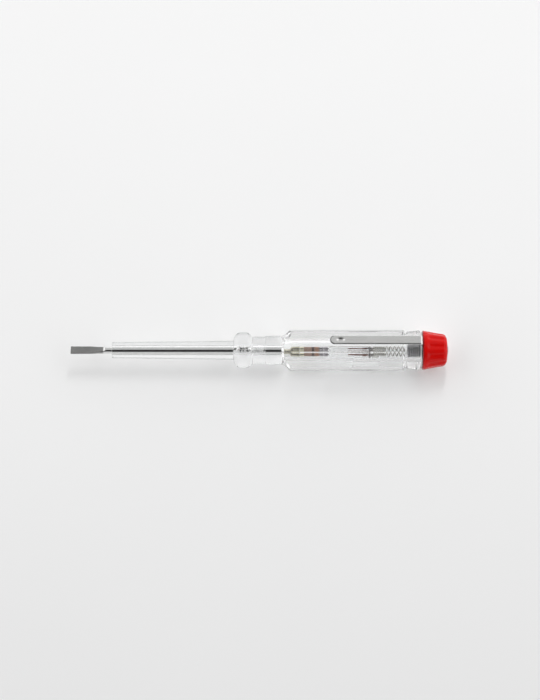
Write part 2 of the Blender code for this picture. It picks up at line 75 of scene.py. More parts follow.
scene.view_settings.view_transform = "Standard"
scene.view_settings.look = "None"
scene.view_settings.exposure = 0.0
scene.view_settings.gamma = 1.0
scene.cycles.max_bounces = 24
scene.cycles.diffuse_bounces = 4
scene.cycles.glossy_bounces = 10
scene.cycles.transmission_bounces = 20
scene.cycles.transparent_max_bounces = 24
scene.cycles.caustics_reflective = True
scene.cycles.caustics_refractive = True
scene.cycles.blur_glossy = 0.0
scene.cycles.sample_clamp_indirect = 6.0
scene.cycles.use_denoising = True


# ------------------------------------------------------------------ mesh helpers
def mesh_object(name, vertices, faces, look, smooth=True):
    """A mesh from points in millimetres."""
    mesh = bpy.data.meshes.new(name)
    points = np.asarray(vertices, float) * MM
    mesh.from_pydata([tuple(p) for p in points], [], faces)
    build = bmesh.new()
    build.from_mesh(mesh)
    bmesh.ops.remove_doubles(build, verts=build.verts, dist=2e-7)
    bmesh.ops.dissolve_degenerate(build, edges=build.edges, dist=1e-8)
    bmesh.ops.recalc_face_normals(build, faces=build.faces)
    build.to_mesh(mesh)
    build.free()
    mesh.polygons.foreach_set("use_smooth", [smooth] * len(mesh.polygons))
    mesh.materials.append(look)
    mesh.update()
    made = bpy.data.objects.new(name, mesh)
    scene.collection.objects.link(made)
    return made


def skin(rings, loop=False):
    """Vertices and faces over rings of equal size. loop joins the last ring to the
    first, and otherwise each end is closed with a fan."""
    rings = np.asarray(rings, float)
    many, round_ = rings.shape[:2]
    vertices = rings.reshape(-1, 3)
    faces = []
    last = many if loop else many - 1
    for i in range(last):
        a, b = i * round_, ((i + 1) % many) * round_
        for j in range(round_):
            k = (j + 1) % round_
            faces.append((a + j, a + k, b + k, b + j))
    if not loop:
        ends = []
        for first in (0, (many - 1) * round_):
            ends.append(vertices[first : first + round_].mean(axis=0))
        vertices = np.vstack([vertices, ends])
        for n, first in enumerate((0, (many - 1) * round_)):
            centre = many * round_ + n
            for j in range(round_):
                k = (j + 1) % round_
                faces.append((first + j, first + k, centre))
    return vertices, faces


def rounded(outline, segments=5):
    """An outline of (x, r) or (x, r, fillet radius) as points, with fillets as arcs and
    a point close to each end of an arc so that flat stretches shade flat."""
    points = []
    count = len(outline)
    for i, item in enumerate(outline):
        p = np.array(item[:2], float)
        fillet = item[2] if len(item) > 2 else 0.0
        if fillet <= 0 or i in (0, count - 1):
            points.append(tuple(p))
            continue
        a = np.array(outline[i - 1][:2], float) - p
        b = np.array(outline[i + 1][:2], float) - p
        la, lb = np.linalg.norm(a), np.linalg.norm(b)
        a, b = a / la, b / lb
        angle = math.acos(max(-1.0, min(1.0, float(a @ b))))
        if angle > math.pi - 0.02:
            points.append(tuple(p))
            continue
        cut = min(fillet / math.tan(angle / 2), 0.48 * la, 0.48 * lb)
        radius = cut * math.tan(angle / 2)
        centre = p + (a + b) / np.linalg.norm(a + b) * (radius / math.sin(angle / 2))
        start, stop = p + a * cut, p + b * cut
        v0, v1 = start - centre, stop - centre
        sweep = math.atan2(v0[0] * v1[1] - v0[1] * v1[0], float(v0 @ v1))
        points.append(tuple(start + a * min(0.04, (la - cut) * 0.3)))
        for k in range(segments + 1):
            t = sweep * k / segments
            c, s = math.cos(t), math.sin(t)
            points.append(
                (
                    centre[0] + c * v0[0] - s * v0[1],
                    centre[1] + s * v0[0] + c * v0[1],
                )
            )
        points.append(tuple(stop + b * min(0.04, (lb - cut) * 0.3)))
    return points


def split_long(points, longest):
    """Extra points on stretches longer than longest."""
    out = [points[0]]
    for a, b in zip(points, points[1:]):
        pieces = max(1, int(math.ceil(math.dist(a, b) / longest)))
        for k in range(1, pieces + 1):
            t = k / pieces
            out.append((a[0] + (b[0] - a[0]) * t, a[1] + (b[1] - a[1]) * t))
    return out


def turned(name, outline, look, around=96, shape=None, loop=False, centre=(0.0, AXIS_Z)):
    """A turned piece about the tool's axis. shape(x, r, angle) may change the radius."""
    angles = np.arange(around) * math.tau / around
    rings = []
    for x, r in outline:
        radius = np.full(around, float(r))
        if shape is not None:
            radius = shape(x, radius, angles)
        rings.append(
            np.stack(
                [
                    np.full(around, float(x)),
                    centre[0] + radius * np.cos(angles),
                    centre[1] + radius * np.sin(angles),
                ],
                axis=1,
            )
        )
    vertices, faces = skin(rings, loop)
    return mesh_object(name, vertices, faces, look)


def tube(name, path, radius, look, around=14, taper=0.12):
    """A round wire along a path of points, its ends slightly rounded."""
    path = np.asarray(path, float)
    tangents = np.gradient(path, axis=0)
    tangents /= np.linalg.norm(tangents, axis=1)[:, None]
    up = np.array([0.31, 0.22, 0.92])
    rings = []
    normal = np.cross(tangents[0], up)
    normal /= np.linalg.norm(normal)
    angles = np.arange(around) * math.tau / around
    for i, (p, t) in enumerate(zip(path, tangents)):
        normal = normal - t * (normal @ t)
        normal /= np.linalg.norm(normal)
        side = np.cross(t, normal)
        ring = (
            p
            + radius * np.cos(angles)[:, None] * normal
            + radius * np.sin(angles)[:, None] * side
        )
        if i == 0:
            for shrink, back in ((0.55, 0.9), (0.85, 0.5)):
                rings.append(p + (ring - p) * shrink - t * radius * taper * back)
        rings.append(ring)
        if i == len(path) - 1:
            for shrink, on in ((0.85, 0.5), (0.55, 0.9)):
                rings.append(p + (ring - p) * shrink + t * radius * taper * on)
    vertices, faces = skin(rings)
    return mesh_object(name, vertices, faces, look)


def smoothstep(a, b, x):
    t = np.clip((x - a) / (b - a), 0.0, 1.0)
    return t * t * (3 - 2 * t)


# ------------------------------------------------------------------ material helpers
def new_material(name):
    made = bpy.data.materials.new(name)
    made.use_nodes = True
    tree = made.node_tree
    tree.nodes.clear()
    out = tree.nodes.new("ShaderNodeOutputMaterial")
    shader = tree.nodes.new("ShaderNodeBsdfPrincipled")
    tree.links.new(shader.outputs[0], out.inputs["Surface"])
    return made, tree, shader, out


def node(tree, kind, **values):
    made = tree.nodes.new(kind)
    for key, value in values.items():
        if hasattr(made, key):
            setattr(made, key, value)
        else:
            made.inputs[key.replace("_", " ")].default_value = value
    return made


def noise_at(tree, scale, detail=4.0, roughness=0.55, stretch=(1, 1, 1)):
    """Noise in object coordinates, stretched along the axes. scale is per metre."""
    place = tree.nodes.new("ShaderNodeTexCoord")
    mapping = tree.nodes.new("ShaderNodeMapping")
    mapping.inputs["Scale"].default_value = stretch
    tree.links.new(place.outputs["Object"], mapping.inputs["Vector"])
    noise = tree.nodes.new("ShaderNodeTexNoise")
    noise.inputs["Scale"].default_value = scale
    noise.inputs["Detail"].default_value = detail
    noise.inputs["Roughness"].default_value = roughness
    tree.links.new(mapping.outputs[0], noise.inputs["Vector"])
    return noise


def ranged(tree, source, low, high, from_low=0.3, from_high=0.7):
    """source mapped from its own range to low..high."""
    scale = tree.nodes.new("ShaderNodeMapRange")
    scale.inputs["From Min"].default_value = from_low
    scale.inputs["From Max"].default_value = from_high
    scale.inputs["To Min"].default_value = low
    scale.inputs["To Max"].default_value = high
    tree.links.new(source, scale.inputs["Value"])
    return scale.outputs[0]


def bump(tree, shader, source, distance, strength=1.0, after=None):
    made = tree.nodes.new("ShaderNodeBump")
    made.inputs["Distance"].default_value = distance
    made.inputs["Strength"].default_value = strength
    tree.links.new(source, made.inputs["Height"])
    if after is not None:
        tree.links.new(after.outputs[0], made.inputs["Normal"])
    tree.links.new(made.outputs[0], shader.inputs["Normal"])
    return made


def mixed_colour(tree, shader, factor, dark, light):
    mix = tree.nodes.new("ShaderNodeMix")
    mix.data_type = "RGBA"
    mix.inputs[6].default_value = (*dark, 1.0)
    mix.inputs[7].default_value = (*light, 1.0)
    tree.links.new(factor, mix.inputs[0])
    tree.links.new(mix.outputs[2], shader.inputs["Base Color"])
    return mix


def metal(
    name, dark, light, roughness, grain=1500.0, stretch=(1, 1, 1), depth=2e-6, roots=None
):
    """A metal with slight tone and roughness changes and a fine grain. Roots gives the
    two radii between which a thread goes from painted shade in its roots to bright crests."""
    made, tree, shader, _ = new_material(name)
    shader.inputs["Metallic"].default_value = 1.0
    shader.inputs["IOR"].default_value = 2.5
    cloud = noise_at(tree, 260.0, 3.0)
    tone = ranged(tree, cloud.outputs[0], 0.0, 1.0)
    mixed_colour(tree, shader, tone, dark, light)
    # painted shade: the thread is darkened towards its root radius
    if roots:
        place = tree.nodes.new("ShaderNodeTexCoord")
        flat = tree.nodes.new("ShaderNodeVectorMath")
        flat.operation = "MULTIPLY"
        flat.inputs[1].default_value = (0.0, 1.0, 1.0)
        out_by = tree.nodes.new("ShaderNodeVectorMath")
        out_by.operation = "DISTANCE"
        out_by.inputs[1].default_value = (0.0, 0.0, AXIS_Z * MM)
        tree.links.new(place.outputs["Object"], flat.inputs[0])
        tree.links.new(flat.outputs[0], out_by.inputs[0])
        crest = ranged(
            tree, out_by.outputs["Value"], 0.0, 1.0, roots[0] * MM, roots[1] * MM
        )
        both = tree.nodes.new("ShaderNodeMath")
        both.operation = "MULTIPLY"
        tree.links.new(crest, both.inputs[0])
        tree.links.new(ranged(tree, cloud.outputs[0], 0.75, 1.0), both.inputs[1])
        mixed_colour(tree, shader, both.outputs[0], (0.1, 0.1, 0.105), light)
    fine = noise_at(tree, grain, 5.0, 0.6, stretch)
    tree.links.new(
        ranged(tree, fine.outputs[0], roughness[0], roughness[1]),
        shader.inputs["Roughness"],
    )
    bump(tree, shader, fine.outputs[0], depth, 0.6)
    return made


def clear(name, tint, ior, roughness, shadow_tint, wave=0.0, rim=None, front_line_painted_shade=None):
    """Clear plastic or glass that bends light, and lets lamp light through to what
    lies under it. A rim tint paints shade where the surface turns edge-on, greying it."""
    made, tree, shader, out = new_material(name)
    shader.inputs["Base Color"].default_value = (*tint, 1.0)
    # painted shade: the rim colour darkens the surface where it turns edge-on
    if rim:
        weight = tree.nodes.new("ShaderNodeLayerWeight")
        weight.inputs["Blend"].default_value = 0.5
        mixed_colour(
            tree,
            shader,
            ranged(tree, weight.outputs["Facing"], 0.0, 1.0, 0.7, 0.95),
            tint,
            rim,
        )
    shader.inputs["Transmission Weight"].default_value = 1.0
    shader.inputs["IOR"].default_value = ior
    shader.inputs["Specular IOR Level"].default_value = 0.5
    fine = noise_at(tree, 900.0, 3.0)
    tree.links.new(
        ranged(tree, fine.outputs[0], roughness[0], roughness[1]),
        shader.inputs["Roughness"],
    )
    if wave:
        swell = noise_at(tree, 170.0, 2.0, 0.4, (0.35, 1, 1))
        bump(tree, shader, swell.outputs[0], wave, 1.0)
    if front_line_painted_shade:
        # painted shade: a faint grey line along the front side, just inside the outline
        edge_on = tree.nodes.new("ShaderNodeLayerWeight")
        edge_on.inputs["Blend"].default_value = 0.5
        place = tree.nodes.new("ShaderNodeTexCoord")
        parts = tree.nodes.new("ShaderNodeSeparateXYZ")
        tree.links.new(place.outputs["Object"], parts.inputs[0])
        both = tree.nodes.new("ShaderNodeMath")
        both.operation = "MULTIPLY"
        tree.links.new(
            ranged(tree, edge_on.outputs["Facing"], 0.0, 1.0, 0.5, 0.66),
            both.inputs[0],
        )
        tree.links.new(
            ranged(tree, parts.outputs["Y"], 1.0, 0.0, -0.0027, -0.0021),
            both.inputs[1],
        )
        line = tree.nodes.new("ShaderNodeMix")
        line.data_type = "RGBA"
        line.inputs[7].default_value = (*front_line_painted_shade, 1.0)
        source = shader.inputs["Base Color"].links[0].from_socket
        tree.links.new(both.outputs[0], line.inputs[0])
        tree.links.new(source, line.inputs[6])
        tree.links.new(line.outputs[2], shader.inputs["Base Color"])
    path = tree.nodes.new("ShaderNodeLightPath")
    through = tree.nodes.new("ShaderNodeBsdfTransparent")
    through.inputs["Color"].default_value = (*shadow_tint, 1.0)
    mix = tree.nodes.new("ShaderNodeMixShader")
    tree.links.new(path.outputs["Is Shadow Ray"], mix.inputs[0])
    tree.links.new(shader.outputs[0], mix.inputs[1])
    tree.links.new(through.outputs[0], mix.inputs[2])
    tree.links.new(mix.outputs[0], out.inputs["Surface"])
    return made


# ------------------------------------------------------------------ materials
# the last colour is painted shade on the edge-on rims
HANDLE_CLEAR = clear(
    "clear_plastic", (0.985, 0.99, 0.992), 1.49, (0.008, 0.03), (0.82, 0.825, 0.83), 1.0e-5,
    (0.1, 0.1, 0.105),
)
# the last two colours are painted shade: on the edge-on rims and in a line along the front
# side
SLEEVE_CLEAR = clear(
    "sleeve_plastic", (0.985, 0.99, 0.99), 1.47, (0.015, 0.05), (0.9, 0.905, 0.905), 0.8e-5,
    (0.5, 0.505, 0.51),
    (0.3, 0.303, 0.306),
)
LAMP_GLASS = clear("lamp_glass", (0.99, 0.99, 0.99), 1.5, (0.0, 0.01), (0.96, 0.96, 0.96))
STEM_GLASS = clear("stem_glass", (0.9, 0.92, 0.93), 1.5, (0.15, 0.35), (0.8, 0.8, 0.8))


def rod_material():
    """Bright plate on the round rod, ground and duller on the forged tip."""
    made, tree, shader, _ = new_material("plated_steel")
    shader.inputs["Metallic"].default_value = 1.0
    place = tree.nodes.new("ShaderNodeTexCoord")
    parts = tree.nodes.new("ShaderNodeSeparateXYZ")
    tree.links.new(place.outputs["Object"], parts.inputs[0])
    tip = ranged(tree, parts.outputs["X"], 1.0, 0.0, -0.0582, -0.0575)
    cloud = noise_at(tree, 420.0, 4.0, 0.6, (0.5, 1, 1))
    plate = tree.nodes.new("ShaderNodeMix")
    plate.data_type = "RGBA"
    plate.inputs[6].default_value = (0.72, 0.72, 0.715, 1.0)
    plate.inputs[7].default_value = (0.78, 0.78, 0.775, 1.0)
    tree.links.new(ranged(tree, cloud.outputs[0], 0.0, 1.0), plate.inputs[0])
    ground = tree.nodes.new("ShaderNodeMix")
    ground.data_type = "RGBA"
    ground.inputs[6].default_value = (0.27, 0.27, 0.265, 1.0)
    ground.inputs[7].default_value = (0.33, 0.33, 0.325, 1.0)
    tree.links.new(ranged(tree, cloud.outputs[0], 0.0, 1.0), ground.inputs[0])
    both = tree.nodes.new("ShaderNodeMix")
    both.data_type = "RGBA"
    tree.links.new(tip, both.inputs[0])
    tree.links.new(plate.outputs[2], both.inputs[6])
    tree.links.new(ground.outputs[2], both.inputs[7])
    tree.links.new(both.outputs[2], shader.inputs["Base Color"])
    fine = noise_at(tree, 2600.0, 5.0, 0.6, (0.12, 1, 1))
    bright = ranged(tree, fine.outputs[0], 0.05, 0.11)
    dull = ranged(tree, fine.outputs[0], 0.12, 0.2)
    rough = tree.nodes.new("ShaderNodeMix")
    tree.links.new(tip, rough.inputs[0])
    tree.links.new(bright, rough.inputs[2])
    tree.links.new(dull, rough.inputs[3])
    tree.links.new(rough.outputs[0], shader.inputs["Roughness"])
    lines = noise_at(tree, 1500.0, 4.0, 0.6, (0.06, 1, 1))
    bump(tree, shader, lines.outputs[0], 1.5e-6, 0.7)
    return made


PLATED = rod_material()
BRASS = metal("contact_brass", (0.46, 0.435, 0.34), (0.64, 0.61, 0.51), (0.12, 0.22))
CREAM = metal("front_cap_plate", (0.72, 0.68, 0.52), (0.84, 0.8, 0.66), (0.14, 0.24))
TIN = metal("tinned_caps", (0.42, 0.40, 0.42), (0.55, 0.53, 0.55), (0.18, 0.32))
DARK_TIN = metal("rear_cap_plate", (0.2, 0.19, 0.19), (0.33, 0.31, 0.31), (0.18, 0.32))
LEAD = metal("lead_wire", (0.5, 0.48, 0.46), (0.66, 0.63, 0.6), (0.2, 0.34))
SPRING = metal("spring_wire", (0.36, 0.35, 0.325), (0.54, 0.53, 0.495), (0.12, 0.22), 2600.0)
# roots: painted shade in the thread roots
STUD = metal(
    "stud_metal", (0.32, 0.315, 0.32), (0.86, 0.85, 0.86), (0.08, 0.16), roots=(2.5, 2.75)
)
ELECTRODE = metal(
    "electrode_metal", (0.12, 0.045, 0.035), (0.26, 0.11, 0.085), (0.3, 0.46), 3200.0
)


def sheet_steel():
    """Satin plated sheet with a fine grain along the strip."""
    made, tree, shader, _ = new_material("clip_steel")
    shader.inputs["Metallic"].default_value = 1.0
    cloud = noise_at(tree, 90.0, 3.0, 0.5, (0.5, 1, 1))
    tone = mixed_colour(
        tree,
        shader,
        ranged(tree, cloud.outputs[0], 0.0, 1.0),
        (0.66, 0.66, 0.65),
        (0.75, 0.75, 0.745),
    )
    # painted shade: a dark line round the edge of the free end, darker than the plated face
    place = tree.nodes.new("ShaderNodeTexCoord")
    parts = tree.nodes.new("ShaderNodeSeparateXYZ")
    tree.links.new(place.outputs["Object"], parts.inputs[0])
    flat = tree.nodes.new("ShaderNodeVectorMath")
    flat.operation = "MULTIPLY"
    flat.inputs[1].default_value = (1.0, 1.0, 0.0)
    out_by = tree.nodes.new("ShaderNodeVectorMath")
    out_by.operation = "DISTANCE"
    out_by.inputs[1].default_value = (0.02785, 0.0, 0.0)
    tree.links.new(place.outputs["Object"], flat.inputs[0])
    tree.links.new(flat.outputs[0], out_by.inputs[0])
    both = tree.nodes.new("ShaderNodeMath")
    both.operation = "MULTIPLY"
    tree.links.new(
        ranged(tree, out_by.outputs["Value"], 0.0, 1.0, 0.00132, 0.0015),
        both.inputs[0],
    )
    tree.links.new(
        ranged(tree, parts.outputs["X"], 1.0, 0.0, 0.0271, 0.0279), both.inputs[1]
    )
    edge = tree.nodes.new("ShaderNodeMix")
    edge.data_type = "RGBA"
    edge.inputs[7].default_value = (0.11, 0.11, 0.11, 1.0)
    tree.links.new(both.outputs[0], edge.inputs[0])
    tree.links.new(tone.outputs[2], edge.inputs[6])
    tree.links.new(edge.outputs[2], shader.inputs["Base Color"])
    lines = noise_at(tree, 3500.0, 4.0, 0.6, (0.03, 1, 1))
    tree.links.new(
        ranged(tree, lines.outputs[0], 0.24, 0.4), shader.inputs["Roughness"]
    )
    bump(tree, shader, lines.outputs[0], 2e-6, 0.6)
    return made


CLIP = sheet_steel()


def lacquer():
    """Brown resistor lacquer with rings of other colours, along X."""
    made, tree, shader, _ = new_material("resistor_lacquer")
    place = tree.nodes.new("ShaderNodeTexCoord")
    parts = tree.nodes.new("ShaderNodeSeparateXYZ")
    tree.links.new(place.outputs["Object"], parts.inputs[0])
    along = ranged(tree, parts.outputs["X"], 0.0, 1.0, 0.0166, 0.0224)
    ramp = tree.nodes.new("ShaderNodeValToRGB")
    ramp.color_ramp.interpolation = "CONSTANT"
    body, dark, tan = (0.34, 0.235, 0.19), (0.07, 0.045, 0.04), (0.36, 0.2, 0.13)
    stops = [(0.0, body), (0.50, dark), (0.64, body), (0.74, tan), (0.9, body)]
    while len(ramp.color_ramp.elements) < len(stops):
        ramp.color_ramp.elements.new(0.5)
    for element, (at, colour) in zip(ramp.color_ramp.elements, stops):
        element.position = at
        element.color = (*colour, 1.0)
    tree.links.new(along, ramp.inputs[0])
    cloud = noise_at(tree, 700.0, 4.0)
    tint = tree.nodes.new("ShaderNodeMix")
    tint.data_type = "RGBA"
    tint.blend_type = "MULTIPLY"
    tint.inputs[7].default_value = (0.72, 0.7, 0.7, 1.0)
    tree.links.new(ranged(tree, cloud.outputs[0], 0.0, 1.0), tint.inputs[0])
    tree.links.new(ramp.outputs[0], tint.inputs[6])
    tree.links.new(tint.outputs[2], shader.inputs["Base Color"])
    tree.links.new(
        ranged(tree, cloud.outputs[0], 0.22, 0.42), shader.inputs["Roughness"]
    )
    bump(tree, shader, cloud.outputs[0], 1.5e-5, 0.6)
    return made


LACQUER = lacquer()


def red_plastic():
    """Glossy moulded red, with slow tone changes and a faint moulded skin."""
    made, tree, shader, _ = new_material("red_plastic")
    cloud = noise_at(tree, 180.0, 2.0)
    tone = mixed_colour(
        tree,
        shader,
        ranged(tree, cloud.outputs[0], 0.0, 1.0),
        (0.61, 0.0035, 0.003),
        (0.69, 0.006, 0.005),
    )
    # the front rim, in the shade of the handle's end, is darker
    place = tree.nodes.new("ShaderNodeTexCoord")
    parts = tree.nodes.new("ShaderNodeSeparateXYZ")
    tree.links.new(place.outputs["Object"], parts.inputs[0])
    front = tree.nodes.new("ShaderNodeMix")
    front.data_type = "RGBA"
    front.inputs[6].default_value = (0.28, 0.004, 0.006, 1.0)
    tree.links.new(
        ranged(tree, parts.outputs["X"], 0.0, 1.0, 0.0604, 0.0612), front.inputs[0]
    )
    tree.links.new(tone.outputs[2], front.inputs[7])
    # painted light: rays bounced off the cap see a pale pink, not the red, so the floor
    # beside it is lit brighter and only faintly red
    path = tree.nodes.new("ShaderNodeLightPath")
    thrown = tree.nodes.new("ShaderNodeMix")
    thrown.data_type = "RGBA"
    thrown.inputs[7].default_value = (0.88, 0.66, 0.66, 1.0)
    tree.links.new(path.outputs["Is Diffuse Ray"], thrown.inputs[0])
    tree.links.new(front.outputs[2], thrown.inputs[6])
    tree.links.new(thrown.outputs[2], shader.inputs["Base Color"])
    shader.inputs["IOR"].default_value = 1.46
    shader.inputs["Specular IOR Level"].default_value = 0.17
    fine = noise_at(tree, 900.0, 3.0)
    tree.links.new(ranged(tree, fine.outputs[0], 0.1, 0.18), shader.inputs["Roughness"])
    skin_ = noise_at(tree, 260.0, 2.0)
    bump(tree, shader, skin_.outputs[0], 1.2e-5, 0.4)
    return made


RED = red_plastic()

# ------------------------------------------------------------------ handle
PITCH = 0.75


FLAT, BULGE = 7.5, 22.0  # from the axis to a facet's middle, and its radius
RECESS_FLOOR, RECESS_TILT = 7.07, math.radians(20.0)


def hexagon(angles, power=110.0):
    """Radius of a hexagon with slightly convex facets, one of them facing +Z."""
    inverse = 0.0
    for k in range(6):
        t = angles - math.pi / 2 - k * math.pi / 3
        t = (t + math.pi) % math.tau - math.pi
        near = np.abs(t) < 1.2
        c = FLAT - BULGE
        r = c * np.cos(t) + np.sqrt(np.maximum(BULGE**2 - (c * np.sin(t)) ** 2, 0.0))
        inverse = inverse + np.where(near, np.maximum(r, 1.0), 1e3) ** -power
    return inverse ** (-1.0 / power)


def handle_outer(x, radius, angles):
    if not 8.45 < x < 53.75:
        return radius
    hexed = hexagon(angles)
    # grip recess: a flat sunk over the front side edge, with ramped ends
    inside = smoothstep(33.2, 35.2, x) * (1.0 - smoothstep(43.6, 45.8, x))
    if inside > 0:
        depth = 8.3 + (RECESS_FLOOR - 8.3) * inside
        flat = depth / np.maximum(np.cos(angles - math.pi + RECESS_TILT), 1e-3)
        hexed = (hexed**-70.0 + flat**-70.0) ** (-1.0 / 70.0)
    return (radius**-90.0 + hexed**-90.0) ** (-1.0 / 90.0)


def thread_bore(x, radius, angles):
    """Shallow moulded thread lines of the rear collar's bore."""
    amount = float(smoothstep(54.6, 55.0, x) * (1.0 - smoothstep(59.1, 59.4, x)))
    if amount <= 0:
        return radius
    phase = (x / PITCH - (angles - math.pi / 2) / math.tau) % 1.0
    tooth = np.abs(phase - 0.5) * 2.0  # 0 at the crest's middle
    profile = np.clip((tooth - 0.15) / 0.7, 0.0, 1.0)
    return radius * (1 - amount) + amount * (3.04 + 0.06 * (1.0 - profile))


def ellipse(cx, cr, a, b, start, stop, count):
    out = []
    for i in range(count + 1):
        t = math.radians(start + (stop - start) * i / count)
        out.append((cx + a * math.cos(t), cr + b * math.sin(t)))
    return out


outer = [(-9.56, 1.24), (-9.56, 2.4), (-9.56, 3.55)]
outer += ellipse(-6.86, 3.55, 2.7, 3.05, 180, 90, 20)
outer += split_long([(-6.8, 6.6), (-5.16, 6.6)], 1.0)
outer += ellipse(-5.1, 3.2, 2.9, 3.4, 90, 33, 14)
outer += rounded([(-2.43, 5.1), (-2.3, 5.0, 0.08), (0.0, 5.0)], 4)
outer += rounded(
    [(0.2, 5.0), (2.3, 5.0, 0.12), (2.36, 5.3, 0.12), (5.0, 5.32)], 4
)
outer += split_long([(5.2, 5.32), (8.1, 5.36)], 1.0)
outer += [
    (8.46, 5.39),
    (8.7, 5.45),
    (9.0, 5.56),
    (9.35, 5.74),
    (9.7, 5.98),
    (10.05, 6.27),
    (10.4, 6.6),
    (10.75, 6.95),
    (11.1, 7.31),
    (11.45, 7.67),
    (11.8, 8.02),
    (12.2, 8.4),
    (12.65, 8.8),
    (13.2, 9.25),
    (13.8, 9.6),
]
outer += split_long([(14.6, 9.8), (32.4, 9.8)], 1.2)
outer += [(32.4 + 0.1 * i, 9.8) for i in range(1, 40)]
outer += split_long([(36.4, 9.8), (42.8, 9.8)], 1.0)
outer += [(42.8 + 0.1 * i, 9.8) for i in range(1, 40)]
outer += split_long([(46.8, 9.8), (52.2, 9.8)], 1.2)
outer += rounded(
    [
        (52.4, 9.6),
        (53.0, 9.0, 0.3),
        (53.5, 8.3, 0.25),
        (53.62, 6.9, 0.12),
        (53.9, 6.62, 0.2),
        (54.45, 6.6, 0.2),
        (54.9, 6.9, 0.2),
        (57.0, 7.1, 2.0),
        (59.2, 7.42, 0.35),
        (59.6, 7.1, 0.2),
        (59.6, 5.0),
    ],
    4,
)
bore = rounded([(59.6, 3.6), (59.6, 3.12, 0.08), (59.3, 3.0, 0.05), (59.2, 3.0)], 3)
bore += [(59.2 - 0.06 * i, 3.0) for i in range(1, 77)]
bore += rounded(
    [
        (54.5, 3.0),
        (54.4, 2.95, 0.05),
        (54.15, 2.75, 0.08),
        (53.0, 2.75),
    ],
    3,
)
bore += split_long([(52.5, 2.75), (10.2, 2.75)], 1.5)
bore += rounded(
    [(9.9, 2.75), (9.55, 2.75, 0.3), (8.75, 1.9, 0.5), (8.42, 1.24, 0.1), (8.2, 1.24)], 5
)
bore += split_long([(7.8, 1.24), (-9.3, 1.24)], 2.0)
split_at = len(outer)
outline = outer + bore
around = 192
angles = np.arange(around) * math.tau / around
rings = []
for n, (x, r) in enumerate(outline):
    radius = np.full(around, float(r))
    radius = (
        handle_outer(x, radius, angles)
        if n < split_at
        else thread_bore(x, radius, angles)
    )
    rings.append(
        np.stack(
            [
                np.full(around, x),
                radius * np.cos(angles),
                AXIS_Z + radius * np.sin(angles),
            ],
            axis=1,
        )
    )
vertices, faces = skin(rings, loop=True)
handle = mesh_object("handle_shell", vertices, faces, HANDLE_CLEAR)
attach(handle, "handle")
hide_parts("handle")

# ------------------------------------------------------------------ sleeve
sleeve_outline = rounded(
    [
        (-54.6, 1.24),
        (-54.6, 2.2),
        (-54.6, 2.96, 0.7),
        (-52.0, 2.99),
    ],
    5,
)
sleeve_outline += split_long([(-51.0, 3.0), (-11.0, 3.5)], 3.0)
sleeve_outline += rounded(
    [(-10.6, 3.5), (-9.58, 3.5, 0.1), (-9.58, 2.2), (-9.58, 1.24)], 4
)
sleeve_outline += split_long([(-10.0, 1.24), (-54.2, 1.24)], 3.0)
sleeve = turned("blade_sleeve_tube", sleeve_outline, SLEEVE_CLEAR, 96, loop=True)
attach(sleeve, "handle")
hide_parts("blade_sleeve")

# ------------------------------------------------------------------ blade
ROD = 1.25


def blade_profile(x):
    """(width, thickness) of the forged tip at x."""
    if x <= -63.5:
        t = (x + 70.0) / 6.5
        return 3.0 - 0.06 * t, 0.6 + 0.02 * t
    if x <= -57.7:
        t = (x + 63.5) / 5.8
        wide = 2.94 + (2.5 - 2.94) * smoothstep(0.0, 0.75, t)
        return float(wide), 0.62 + (1.72 - 0.62) * t**1.25
    t = min(1.0, (x + 57.7) / 1.3)
    return 2.5, 1.72 + (2.5 - 1.72) * t**0.6


def blade_ring(x, count=96):
    wide, thick = blade_profile(x)
    a = np.arange(count) * math.tau / count
    y = wide / 2 * np.cos(a)
    z = 1.25 * np.sin(a)
    half = thick / 2
    # flat faces with a small rounded edge where they meet the round side
    z = np.sign(z) * (np.maximum(np.abs(z), 1e-6) ** -14.0 + half**-14.0) ** (-1 / 14.0)
    z[np.abs(np.sin(a)) < 1e-9] = 0.0
    # two wings pressed out of the rod, above and below, with pressed sides
    wing = float(smoothstep(-8.35, -7.9, x) * (1 - smoothstep(-3.8, -3.35, x)))
    if wing > 0:
        rise = np.abs(np.sin(a)) ** 5
        pressed = 0.5 + 0.5 * np.cos(x / 0.98 * math.tau) * np.cos(3.0 * a)
        z = z + np.sign(z) * wing * (rise * 0.5 - 0.28 * pressed)
        y = np.sign(y) * np.minimum(np.abs(y), 1.25 - 0.45 * wing * (0.35 + 0.65 * rise))
        y = y * (1.0 - 0.26 * wing * pressed)
    # shallow teeth pressed round the rod behind the wings
    teeth = float(smoothstep(-2.8, -2.5, x) * (1 - smoothstep(1.6, 1.9, x)))
    if teeth > 0:
        cut = 0.5 + 0.5 * np.cos(x / 0.62 * math.tau + 2.0 * np.sin(3 * a))
        y = y * (1.0 - 0.17 * teeth * cut)
        z = z * (1.0 - 0.17 * teeth * cut)
    return np.stack([np.full(count, x), y, AXIS_Z + z], axis=1)


stations = [-70.0, -69.98, -69.9, -69.5]
stations += list(np.linspace(-69.0, -63.5, 9))
stations += list(np.linspace(-63.3, -57.9, 24))
stations += list(np.linspace(-57.7, -55.3, 20))
stations += list(np.linspace(-54.0, -9.0, 16))
stations += list(np.linspace(-8.6, 2.4, 70))
stations += [4.0, 6.0, 8.0, 9.6]
rings = []
for x in stations:
    ring = blade_ring(x)
    if x == -70.0:
        centre = ring.mean(axis=0)
        ring[:, 1:] = centre[1:] + (ring[:, 1:] - centre[1:]) * 0.965
    rings.append(ring)
for x, shrink in ((9.76, 0.98), (9.86, 0.93), (9.9, 0.85)):
    ring = blade_ring(x)
    ring[:, 1:] = np.array([0.0, AXIS_Z]) + (ring[:, 1:] - np.array([0.0, AXIS_Z])) * shrink
    rings.append(ring)
vertices, faces = skin(rings)
blade = mesh_object("blade_rod", vertices, faces, PLATED)
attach(blade, "handle")
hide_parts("blade")

